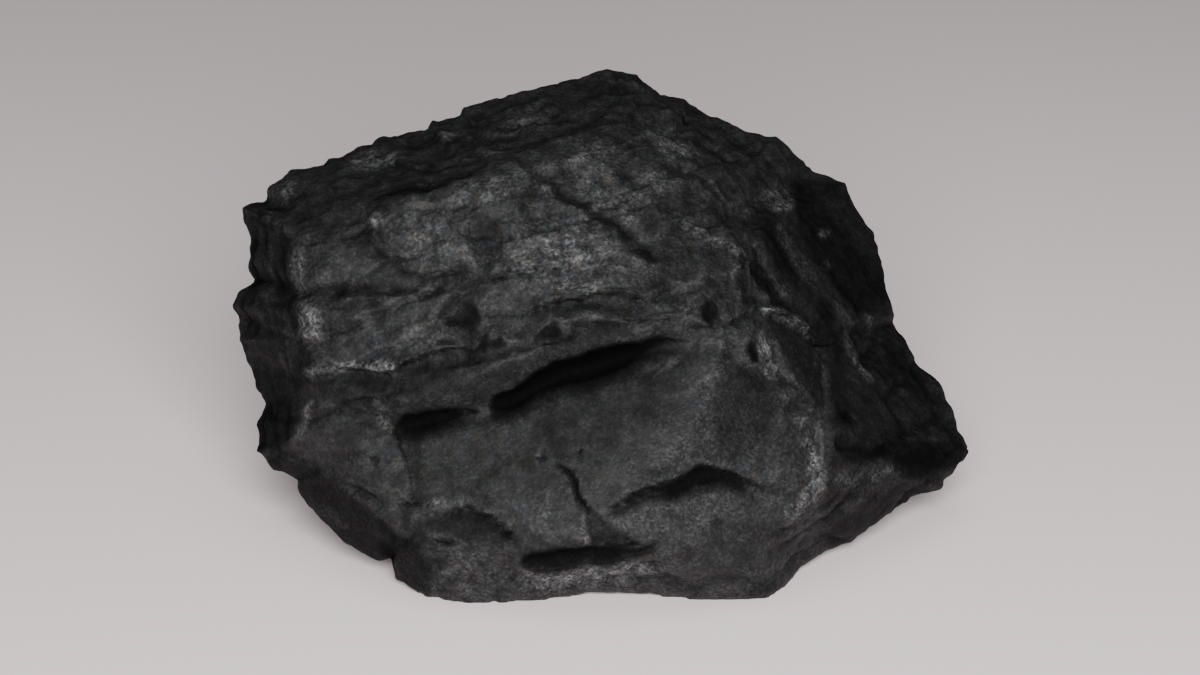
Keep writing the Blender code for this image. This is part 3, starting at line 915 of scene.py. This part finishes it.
def valley_ground(places, out):
    """How far out the ground is once the valley is cut: the lower of the block and the valley's slopes."""
    line = np.array(VALLEY)
    above = places[:, 1] - np.interp(places[:, 0], line[:, 0], line[:, 1])
    floor = np.interp(places[:, 0], line[:, 0], line[:, 2])
    valley = floor + np.where(above < 0, -above * SLAB_RISE, above * BROW_RISE)
    near = soft_step(places[:, 0], *VALLEY_LEFT) * (1 - soft_step(places[:, 0], *VALLEY_RIGHT))
    lifted_clear = 40 * (1 - near)
    return soft_minimum(out, out + (valley - out) * near + lifted_clear, VALLEY_BLEND)


def front_relief(seen, seed):
    """How far each point moves towards the eye, and how much painted shade its place gets, 0 to 1."""
    out = seen[:, 2]
    wobble = np.stack([rough_noise(seen * [1, 1, 0], 8, 3, seed + 40 + k) for k in range(2)], axis=1)
    ragged = rough_noise(seen * [1, 1, 0], 2.6, 2, seed + 48)
    places = seen[:, :2] + wobble * WANDER
    moved = valley_ground(places, out)
    dark = np.zeros(len(seen))
    for path, drop, reach, crest in LEDGES.values():
        move, foot = ledge(places, path, drop, reach, crest)
        moved = moved + move
        # Painted shade along the cliff's foot.
        dark = np.maximum(dark, foot)
    for corners, lift, edge in PLATES.values():
        moved += plate(places, corners, lift, edge)
    for corners in FACETS.values():
        moved -= facet(places, corners)
    depth = np.zeros(len(seen))
    for path, width, deep in GROOVES.values():
        depth = np.maximum(depth, groove(places, path, width, deep, ragged))
    # Painted shade in the grooves: the deeper, the darker.
    dark = np.maximum(dark, np.clip(depth / 1.8, 0, 0.9))
    for sizes in GAPS.values():
        deep, shade = open_gap(places, *sizes, ragged)
        depth = np.maximum(depth, deep)
        dark = np.maximum(dark, shade)
    return moved - depth - out, dark


def back_parting(points, seed):
    """How deep the open parting behind is: a slot along a rising bed, exp(-way ^ 2), widest midway."""
    low, high = BACK_PARTING
    share = np.clip((points[:, 0] - low[0]) / (high[0] - low[0]), 0, 1)
    level = low[1] + (high[1] - low[1]) * share + 0.8 * rough_noise(points, 7, 2, seed + 58)
    thin = 1 - (2 * share - 1) ** 2
    above = (points[:, 2] - level) / (BACK_PARTING_WIDTH * thin + 0.2)
    return BACK_PARTING_DEPTH * thin * np.exp(-(above**2))


def rest_on_ground(points, standing):
    """Points that stand above the ground but sank into it slide towards the eye until they lie on it."""
    eye = MIDDLE + OUT_WAY * EYE_DISTANCE
    sunk = standing & (points[:, 2] < 0)
    share = np.where(sunk, -points[:, 2] / (eye[2] - points[:, 2]), 0)
    points = points + (eye - points) * share[:, None]
    points[~standing, 2] = 0
    return points


def share_left(places, patches):
    """The product of what is left on each shape: its own share inside its outline, and 1 outside."""
    left = np.ones(len(places))
    for corners, edge, share in patches.values():
        left *= 1 - (1 - share) * soft_step(inside(places, corners), -edge / 2, edge / 2)
    return left


def round_patch(places, across, up, half_width, half_height, turn):
    """1 in the middle of a turned oval, falling softly: exp(-(way / half size) ^ 3)."""
    turn = math.radians(turn)
    gap = places - (across, up)
    along = gap @ (math.cos(turn), math.sin(turn)) / half_width
    over = gap @ (-math.sin(turn), math.cos(turn)) / half_height
    return np.exp(-((along**2 + over**2) ** 1.5))


def bloom_and_sheen_paint(places):
    """How much bright bloom and painted sheen lies on each place: soft strokes along paths, and soft round
    patches.
    """
    bloom_and_sheen = np.zeros(len(places))
    for path, width, strength in BLOOM_AND_SHEEN_STROKES.values():
        distance, _, _ = nearest_on_path(places, path)
        bloom_and_sheen = np.maximum(bloom_and_sheen, strength * np.exp(-((distance / width * 1.6) ** 2)))
    for *patch, strength in BLOOM_AND_SHEEN_PATCHES.values():
        bloom_and_sheen = np.maximum(bloom_and_sheen, strength * round_patch(places, *patch))
    return bloom_and_sheen


def light_paint(places):
    """How much painted light each place keeps: less on the faces in painted shade and on the patches of
    shade.
    """
    light = share_left(places, SHADED_FACES)
    for *patch, share in SHADE_PATCHES.values():
        light *= 1 - (1 - share) * round_patch(places, *patch)
    return light


def base_block(aims, heart, seed):
    """Points along each aim on the CAD solid's outer planes, each gently bent, with their edges worn round.

    The planes meet in a soft minimum: minus the logarithm of the sum of exp(-EDGE * reach), over EDGE, so
    that a shallow edge fades away while a sharp one stays. The ground's own plane is left flat.
    """
    normals, distances = outer_planes(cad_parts[NODE])
    distances = distances - normals @ heart
    waves = np.stack([rough_noise(aims * 40, WAVE_SIZE, 2, seed + 10 * k) for k in range(WAVES)])
    mix = np.random.default_rng(seed).normal(size=(len(distances), WAVES)) * WAVINESS
    total = np.zeros(len(aims))
    ground = np.full(len(aims), np.inf)
    for normal, distance, shares in zip(normals, distances, mix):
        facing = aims @ normal
        hit = facing > 0.02
        way = np.where(hit, facing, 1)
        if normal[2] < -0.99:
            ground = np.where(hit, distance / way, ground)
            continue
        reach = (distance + EDGE_LOSS - np.abs(shares @ waves)) / way
        total += np.where(hit, np.exp(-EDGE * reach), 0)
    return heart + aims * np.minimum(-np.log(total) / EDGE, ground)[:, None]


def drawn_front(points, faces, front, seed):
    """The block with the front drawn on it, as the eye sees it, and the painted shade in each place's
    recesses.

    Front is how much each place belongs to the front, 0 to 1. The grid is first pulled together along the
    lines and gaps, so that it can carry them, and the floors of the gaps are averaged smooth.
    """
    seen = fit_outline(to_plane(points), seed + 30)
    gathered = seen[:, :2]
    for path, width, _ in GROOVES.values():
        gathered = pull_together(gathered, path, width, 0.3)
    for corners, *_ in GAPS.values():
        gathered = pull_together(gathered, corners + corners[:1], 1.2, 0.35)
    seen[:, :2] += (gathered - seen[:, :2]) * front[:, None]
    lift, recess_shade = front_relief(seen, seed)
    lift += (averaged(lift, faces, 3) - lift) * soft_step(recess_shade, 0.75, 0.95)
    seen[:, 2] += lift * front
    return seen, recess_shade * front


def bed_steps(points, beds, seed):
    """How far beds, given as (thickness, step, parting), move the surface: down, by up to step + parting."""
    thickness, step, deep = beds
    stand, parting = bedding(points, BED_WAY, thickness, seed)
    return step * stand - step - deep * parting


def cell_breaks(points, cells, seed):
    """How far broken cells, given as (spacing, flatness, height, sunk), move the surface."""
    spacing, flatness, height, sunk = cells
    return height * cell_relief(points * [1, 1, flatness], spacing, 0.9, 0.9, seed) - sunk


def back_relief(points, fade, broken, seed):
    """How far the back moves: combed ridges, hollow scars, cleat steps and the open parting."""
    scars = cell_relief(points * [1, 1, 1.3], BACK_BREAK_SIZE, 1.0, 0.8, seed + 97)
    cleats, _ = bedding(points, CLEAT_WAY, CLEAT_SIZE, seed + 55)
    move = fade * BACK_COMB_HEIGHT * combed_noise(points, BACK_COMB, seed + 85)
    move += BACK_BREAKS * (scars - 0.35) + broken * CLEAT_STEP * (cleats - 0.6)
    return move - back_parting(points, seed)


def lump_surface(seed):
    """All points of the lump in the frame, in millimetres, its faces and its painted values."""
    steps, faces = box_grid()
    widest = math.pi / 4 * GRID_EVENNESS
    aims = np.tan(steps * widest) / math.tan(widest) * GRID_HALF @ PLANE_WAYS
    aims /= np.linalg.norm(aims, axis=1, keepdims=True)
    points = base_block(aims, GRID_HEART @ PLANE_WAYS + MIDDLE, seed)
    facing = averaged(vertex_normals(points, faces) @ OUT_WAY, faces, 3)
    front = soft_step(facing, 0.05, 0.3)
    shown = soft_step(facing, -0.15, 0.05)
    seen, recess_shade = drawn_front(points, faces, front, seed)
    points = from_plane(seen)

    places = seen[:, :2]
    calm = 1 + (share_left(places, CALM) * quiet(places) - 1) * shown
    above_ground = soft_step(points[:, 2], 0.2, 4)
    rough = calm * (1 - RIM_CALM * np.exp(-((facing / 0.22) ** 2))) * above_ground
    behind = (1 - front) * above_ground
    fade = soft_step(gradient_noise(points / 14, seed + 66), -0.4, 0.5)
    broken = soft_step(gradient_noise(points / 24, seed + 68), -0.5, 0.2)
    torn = soft_step(rough_noise(points, 6, 2, seed + 83), -0.7, 0.3)
    outward = averaged(vertex_normals(points, faces), faces, 8)
    outward /= np.linalg.norm(outward, axis=1, keepdims=True)

    move = rough * (1 - BACK_CALM * behind * (1 - broken)) * bed_steps(points, THICK_BEDS, seed + 50)
    move += rough * fade * bed_steps(points, THIN_BEDS, seed + 60)
    move += rough * cell_breaks(points, WIDE_CELLS, seed + 90)
    move += rough * cell_breaks(points, SMALL_CELLS, seed + 95)
    move += rough * FINE_GRAIN[1] * rough_noise(points, FINE_GRAIN[0], 2, seed + 70, 0.6)
    move += above_ground * BROAD_SWELLS[1] * rough_noise(points, BROAD_SWELLS[0], 2, seed + 75)
    light = light_paint(places)
    for corners, way, height, furrow_shade in COMBED.values():
        here = soft_step(inside(places, corners), -1, 1.5)
        ridges = combed_noise(points, np.array(way) @ PLANE_WAYS, seed + 80)
        move += above_ground * here * front * height * (0.4 + 0.6 * torn) * ridges
        # Painted shade in the furrows between the ridges.
        light *= 1 - here * furrow_shade * torn * soft_step(-ridges, -0.3, 0.7)
    move += behind * back_relief(points, fade, broken, seed)
    points = points + outward * move[:, None]
    points = rest_on_ground(from_plane(fit_outline(to_plane(points), seed + 30)), above_ground > 0)

    normals = vertex_normals(points, faces)
    bulge = ((points - averaged(points, faces, 3)) * normals).sum(1)
    wide_bulge = ((points - averaged(points, faces, 12)) * normals).sum(1)
    values = {
        # Painted shade in the recesses, and darker still in concave places.
        "recess_shade": np.clip(np.maximum(recess_shade, -wide_bulge / 1.6), 0, 1),
        # Painted highlight on convex crests.
        "lit_crest_and_shaded_lip": np.clip((bulge - 0.04) / 0.16, 0, 1),
        # Bloom with painted sheen and highlights in front; random pale bloom behind.
        "bloom_and_sheen": bloom_and_sheen_paint(places) * shown + (1 - shown) * 0.5 * broken * fade,
        "light": 1 + (light - 1) * shown,
        "rough": calm,
    }
    return points, faces, values


def new_mesh_object(name, points, faces, values):
    """A mesh object at the origin, from points in millimetres, with one attribute for each painted value."""
    mesh = bpy.data.meshes.new(name)
    mesh.from_pydata(points * MM, [], faces)
    for value_name, value in values.items():
        layer = mesh.attributes.new(value_name, "FLOAT", "POINT")
        layer.data.foreach_set("value", value.astype(np.float32))
    mesh.shade_smooth()
    mesh.set_sharp_from_angle(angle=SHARP_ANGLE)
    obj = bpy.data.objects.new(name, mesh)
    bpy.context.scene.collection.objects.link(obj)
    return obj


# ---------------------------------------------------------------- finish


class Flow:
    """One output socket in a material: sums and products of such sockets add their own Math nodes."""

    def __init__(self, tree, socket=None):
        self.tree = tree
        self.socket = socket

    def node(self, kind, settings=None, sockets=None, output=0):
        """A new node: its settings first, then its sockets' values or links. Gives one of its outputs."""
        node = self.tree.nodes.new(kind)
        for name, value in (settings or {}).items():
            setattr(node, name, value)
        for name, value in (sockets or {}).items():
            if isinstance(value, Flow):
                self.tree.links.new(value.socket, node.inputs[name])
            else:
                node.inputs[name].default_value = value
        return Flow(self.tree, node.outputs[output])

    def output(self, name):
        """Another output of the same node."""
        return Flow(self.tree, self.socket.node.outputs[name])

    def maths(self, operation, first, second):
        return self.node("ShaderNodeMath", {"operation": operation}, {0: first, 1: second})

    def __add__(self, other):
        return self.maths("ADD", self, other)

    def __sub__(self, other):
        return self.maths("SUBTRACT", self, other)

    def __mul__(self, other):
        return self.maths("MULTIPLY", self, other)

    def __pow__(self, other):
        return self.maths("POWER", self, other)

    def __radd__(self, other):
        return self.maths("ADD", other, self)

    def __rsub__(self, other):
        return self.maths("SUBTRACT", other, self)

    def __rmul__(self, other):
        return self.maths("MULTIPLY", other, self)

    def between(self, low, high):
        return self.maths("MINIMUM", self.maths("MAXIMUM", self, low), high)

    def step(self, low, high):
        """0 below low, 1 above high, and a smooth rise between them."""
        sockets = {"Value": self, "From Min": low, "From Max": high}
        return self.node("ShaderNodeMapRange", {"interpolation_type": "SMOOTHSTEP"}, sockets)

    def vectors(self, operation, other):
        sockets = {0: self, ("Scale" if operation == "SCALE" else 1): other}
        output = "Value" if operation == "DOT_PRODUCT" else "Vector"
        return self.node("ShaderNodeVectorMath", {"operation": operation}, sockets, output)

    def noise(self, scale, detail, roughness=0.5):
        sockets = {"Vector": self, "Scale": scale, "Detail": detail, "Roughness": roughness}
        return self.node("ShaderNodeTexNoise", {"noise_dimensions": "3D"}, sockets, "Fac")

    def painted(self, name):
        return self.node("ShaderNodeAttribute", {"attribute_name": name}, output="Fac")


# How bright black coal, its dull beds, the bloom with its painted sheen and the painted highlight on crests
# are, the two tints that its patches lie between, and the colour of the painted shade.
BLACK = 0.0055
DULL = 0.016
BLOOM_AND_SHEEN = 0.05
CREST_HIGHLIGHT = 0.009
WARM_TINT = (1.04, 1.01, 0.96, 1)
COOL_TINT = (0.94, 1.01, 1.07, 1)
PAINTED_SHADE_COLOUR = (0.0022, 0.0022, 0.0023, 1)


def coal_finish(settings):
    """Black coal: grains that catch the light one by one, dull and bright beds, bloom and painted
    highlights.

    Its brightness is (black + dull coal) * blotches * speckle + bloom and sheen + crest highlights. The less
    painted light a place keeps and the more recess shade it has, the more it mixes towards the black shade.
    """
    material = bpy.data.materials.new("coal_finish")
    material.use_nodes = True
    tree = material.node_tree
    surface = tree.nodes["Principled BSDF"]
    flow = Flow(tree)
    place = flow.node("ShaderNodeTexCoord", output="Object").vectors("SCALE", 1 / MM)

    grains = place.node(
        "ShaderNodeTexVoronoi",
        {"feature": "F1"},
        {"Vector": place, "Scale": 1 / settings.grain_size},
        "Color",
    )
    grain = grains.node("ShaderNodeSeparateColor", sockets={"Color": grains}, output="Red")
    tilt = place.vectors("SUBTRACT", grains.output("Position")).vectors(
        "DOT_PRODUCT", grains.vectors("SUBTRACT", (0.5, 0.5, 0.5))
    )
    fine = place.noise(1.5, 3, 0.6)
    mottle = place.noise(0.4, 4, 0.6)
    broad = place.noise(0.07, 2)
    turned = place.node(
        "ShaderNodeMapping", {"vector_type": "TEXTURE"},
        {"Vector": place, "Rotation": (0.1, 0.2, 0), "Scale": (7, 7, 1)}, "Vector",
    )
    beds = turned.noise(0.7, 3)

    recess_shade = place.painted("recess_shade")
    lit_crest_and_shaded_lip = place.painted("lit_crest_and_shaded_lip")
    bloom_and_sheen = place.painted("bloom_and_sheen")
    light = place.painted("light")
    rough = place.painted("rough")

    patchy = (0.4 + 0.85 * mottle.step(0.38, 0.62)) * fine.step(0.28, 0.7)
    speckle = 0.63 + 0.72 * grain**2
    dust_and_sheen = bloom_and_sheen * patchy * speckle
    dull = (0.5 * mottle + 0.25 * beds + 0.2 * broad + 0.35 * fine).step(0.4, 0.9)
    blotches = 1 + 1.3 * rough * (mottle - 0.5)
    # The coal's own colour, plus bloom with painted sheen and a painted highlight on crests.
    value = (BLACK + DULL * dull) * blotches * speckle + BLOOM_AND_SHEEN * dust_and_sheen + CREST_HIGHLIGHT * lit_crest_and_shaded_lip * grain
    tint = place.node(
        "ShaderNodeMix", {"data_type": "RGBA"},
        {"Factor": place.noise(0.9, 1).step(0.35, 0.65), "A": WARM_TINT, "B": COOL_TINT},
        "Result",
    )
    colour = tint.vectors("SCALE", value)
    roughness = (0.6 - 0.12 * grain + 0.12 * dust_and_sheen + 0.12 * (mottle - 0.5)).between(0.3, 0.9)
    height = (0.26 * tilt + 0.14 * (fine - 0.5)) * (0.6 + 0.25 * rough) + 0.2 * (mottle - 0.5) * rough
    bump = place.node("ShaderNodeBump", sockets={"Height": height, "Distance": MM, "Strength": 1.0})

    tree.links.new(colour.socket, surface.inputs["Base Color"])
    tree.links.new(roughness.socket, surface.inputs["Roughness"])
    tree.links.new(bump.socket, surface.inputs["Normal"])
    surface.inputs["Specular IOR Level"].default_value = settings.gloss

    # A black, unlit surface for the painted shade.
    unlit = {"Base Color": PAINTED_SHADE_COLOUR, "Roughness": 1.0, "Specular IOR Level": 0.0}
    painted_shade_surface = flow.node("ShaderNodeBsdfPrincipled", sockets=unlit, output="BSDF")
    # Painted shade: less where the painted light is kept, more in the recesses.
    shade = 1 - light * (1 - recess_shade)
    bright = Flow(tree, surface.outputs["BSDF"])
    lit = flow.node("ShaderNodeMixShader", sockets={0: shade, 1: bright, 2: painted_shade_surface})
    tree.links.new(lit.socket, tree.nodes["Material Output"].inputs["Surface"])
    return material


def floor_finish(settings):
    """One plain matte colour."""
    material = bpy.data.materials.new("floor_finish")
    material.use_nodes = True
    surface = material.node_tree.nodes["Principled BSDF"]
    surface.inputs["Base Color"].default_value = (*settings.floor_colour, 1)
    surface.inputs["Roughness"].default_value = 0.9
    return material


# ---------------------------------------------------------------- add-on

# The floor's half side, in metres, and the strength of the light from all round.
FLOOR_HALF = 3.0
ROOM_LIGHT = 0.1
# The lights: azimuth and elevation in degrees, distance and size in metres.
KEY_LIGHT = (3, 24, 0.7, 0.4)
TOP_LIGHT = (-10, 82, 0.8, 0.7)


class LumpSettings(bpy.types.PropertyGroup):
    """What a user may change on the lump"""

    seed: bpy.props.IntProperty(name="Seed", description="Picks the random breaks", default=7)
    grain_size: bpy.props.FloatProperty(
        name="Grain size", description="Width of the grains that catch the light, in millimetres",
        default=0.38, min=0.1, max=5,
    )
    gloss: bpy.props.FloatProperty(
        name="Gloss", description="Strength of the reflection, 0.5 for common minerals", default=0.12,
        min=0, max=1, subtype="FACTOR",
    )


class StageSettings(bpy.types.PropertyGroup):
    """What a user may change on the stage"""

    floor_colour: bpy.props.FloatVectorProperty(
        name="Floor colour", description="Colour of the plain floor", subtype="COLOR", size=3,
        default=(0.79, 0.69, 0.7), min=0, max=1,
    )
    key_power: bpy.props.FloatProperty(
        name="Key light", description="Power of the light above the camera", default=12.2, min=0,
        unit="POWER",
    )
    fill_power: bpy.props.FloatProperty(
        name="Top light", description="Power of the weak light from above", default=2.0, min=0,
        unit="POWER",
    )


class COAL_OT_lump(bpy.types.Operator):
    """Builds the lump's broken surface and gives it the coal finish"""

    bl_idname = "coal.lump"
    bl_label = "Build the lump"

    def execute(self, context):
        settings = context.scene.coal_lump
        points, faces, values = lump_surface(settings.seed)
        lump = new_mesh_object("broken_coal", points, faces, values)
        lump.data.materials.append(coal_finish(settings))
        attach(lump, "root")
        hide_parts(NODE)
        return {"FINISHED"}


class COAL_OT_stage(bpy.types.Operator):
    """Builds the floor, the lights and the camera"""

    bl_idname = "coal.stage"
    bl_label = "Build the stage"

    def execute(self, context):
        settings = context.scene.coal_stage
        mesh = bpy.data.meshes.new("floor")
        corners = [(x * FLOOR_HALF, y * FLOOR_HALF, 0) for x, y in ((-1, -1), (1, -1), (1, 1), (-1, 1))]
        mesh.from_pydata(corners, [], [(0, 1, 2, 3)])
        mesh.materials.append(floor_finish(settings))
        floor = bpy.data.objects.new("floor", mesh)
        context.scene.collection.objects.link(floor)

        middle = Vector(MIDDLE) * MM
        camera_data = bpy.data.cameras.new("camera")
        camera_data.lens = LENS
        camera_data.sensor_width = FILM_WIDTH
        camera = bpy.data.objects.new("camera", camera_data)
        out = Vector(OUT_WAY)
        camera.location = middle + out * EYE_DISTANCE * MM
        camera.rotation_euler = out.to_track_quat("Z", "Y").to_euler()
        context.scene.collection.objects.link(camera)
        context.scene.camera = camera

        self.add_light(context, middle, "key", *KEY_LIGHT, settings.key_power)
        self.add_light(context, middle, "top", *TOP_LIGHT, settings.fill_power)

        world = bpy.data.worlds.new("studio")
        world.use_nodes = True
        background = world.node_tree.nodes["Background"]
        background.inputs["Color"].default_value = (1, 1, 1, 1)
        background.inputs["Strength"].default_value = ROOM_LIGHT
        context.scene.world = world
        return {"FINISHED"}

    def add_light(self, context, target, name, azimuth, elevation, distance, size, power):
        """A round soft light that looks at target from azimuth and elevation, in degrees, and a distance."""
        turn, rise = math.radians(azimuth), math.radians(elevation)
        way = Vector((math.sin(turn) * math.cos(rise), -math.cos(turn) * math.cos(rise), math.sin(rise)))
        data = bpy.data.lights.new(name, "AREA")
        data.shape = "DISK"
        data.size = size
        data.energy = power
        light = bpy.data.objects.new(name, data)
        light.location = target + way * distance
        light.rotation_euler = way.to_track_quat("Z", "Y").to_euler()
        context.scene.collection.objects.link(light)


class COAL_PT_panel(bpy.types.Panel):
    """Lists the settings and the operators"""

    bl_label = "Coal lump"
    bl_idname = "COAL_PT_panel"
    bl_space_type = "VIEW_3D"
    bl_region_type = "UI"
    bl_category = "Coal"

    def draw(self, context):
        for group in (context.scene.coal_lump, context.scene.coal_stage):
            for name in group.__annotations__:
                self.layout.prop(group, name)
        self.layout.operator(COAL_OT_lump.bl_idname)
        self.layout.operator(COAL_OT_stage.bl_idname)


CLASSES = (LumpSettings, StageSettings, COAL_OT_lump, COAL_OT_stage, COAL_PT_panel)


def register():
    for cls in CLASSES:
        bpy.utils.register_class(cls)
    bpy.types.Scene.coal_lump = bpy.props.PointerProperty(type=LumpSettings)
    bpy.types.Scene.coal_stage = bpy.props.PointerProperty(type=StageSettings)


def unregister():
    del bpy.types.Scene.coal_stage
    del bpy.types.Scene.coal_lump
    for cls in reversed(CLASSES):
        bpy.utils.unregister_class(cls)


def main():
    """Builds everything."""
    register()
    bpy.ops.coal.lump()
    bpy.ops.coal.stage()


if __name__ == "__main__":
    main()
